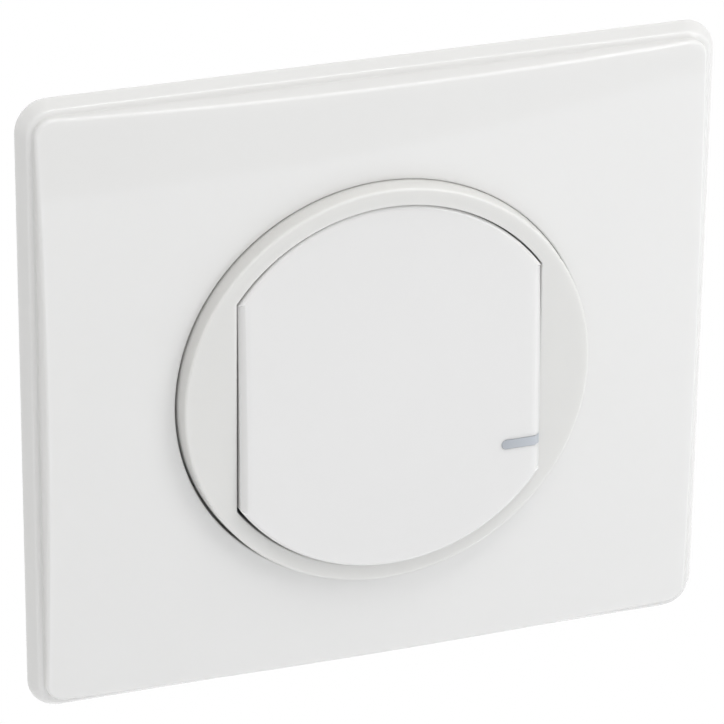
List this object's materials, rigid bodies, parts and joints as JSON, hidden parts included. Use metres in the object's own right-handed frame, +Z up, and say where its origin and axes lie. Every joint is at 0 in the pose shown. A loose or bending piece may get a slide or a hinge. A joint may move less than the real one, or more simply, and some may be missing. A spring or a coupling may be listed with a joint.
{
  "type": "smart light switch",
  "caption": "Flush-mounted connected light switch: stepped white cover plate, round ring, sprung barrel-shaped rocker with a light-guide slot, and a boxed mechanism behind the wall.",
  "frame": {"origin": "on the axis of the cover ring, in the plane of the wall that the support frame and the plate's rim bear on", "axes": "+X to the right and +Z up as the user sees it; the front looks towards -Y and the mechanism goes into the wall along +Y"},
  "size_m": [0.0899, 0.0374, 0.0819],
  "materials": {
    "plate_white": "high-gloss white moulding",
    "ring_white": "satin warm white moulding",
    "rocker_white": "semi-gloss white moulding",
    "lens_grey": "translucent blue-grey light guide",
    "frame_steel": "zinc-plated pressed steel",
    "deck_white": "matte white moulding",
    "screw_steel": "zinc-plated steel",
    "housing_grey": "fine-textured light grey moulding",
    "board_green": "solder-masked circuit board",
    "moulded_black": "black moulding",
    "key_rubber": "grey silicone rubber",
    "lamp_white": "white lamp body",
    "pipe_clear": "clear polished rod",
    "button_grey": "grey moulding",
    "shield_tin": "tinned steel can",
    "relay_black": "black moulded case",
    "capacitor_yellow": "yellow boxed capacitor",
    "can_aluminium": "drawn aluminium can",
    "choke_dark": "dark ferrite drum in a sleeve",
    "varistor_blue": "blue epoxy coat",
    "resistor_green": "green coated resistor",
    "terminal_brass": "machined brass"
  },
  "bodies": {
    "base": {"cover_plate": "plate_white", "cover_ring": "ring_white", "support_frame": "frame_steel", "mechanism_deck": "deck_white", "deck_screws": "screw_steel", "mechanism_housing": "housing_grey", "control_board": "board_green", "power_board": "board_green", "board_header": "moulded_black", "upper_key_dome": "key_rubber", "lower_key_dome": "key_rubber", "status_led": "lamp_white", "light_pipe": "pipe_clear", "reset_switch": "moulded_black", "radio_module": "board_green", "radio_shield": "shield_tin", "load_relay": "relay_black", "filter_capacitor": "capacitor_yellow", "smoothing_capacitor": "can_aluminium", "choke_coil": "choke_dark", "varistor": "varistor_blue", "bridge_rectifier": "moulded_black", "fuse_resistor": "resistor_green", "terminal_blocks": "terminal_brass", "terminal_screws": "screw_steel"},
    "key": {"rocker": "rocker_white", "light_guide_lens": "lens_grey"},
    "reset": {"reset_button": "button_grey"}
  },
  "joints": [
    {"name": "rocker_tilt", "type": "hinge", "parent": "base", "child": "key", "pos_m": [0, -0.0057, 0], "axis": [1, 0, 0], "range_deg": [0, 4.4], "stiffness_Nm_per_rad": 1.5, "deforming": ["upper_key_dome", "lower_key_dome"]},
    {"name": "reset_press", "type": "slide", "parent": "base", "child": "reset", "axis": [0, 1, 0], "range_m": [0, 0.0003], "stiffness_N_per_m": 2000}
  ]
}
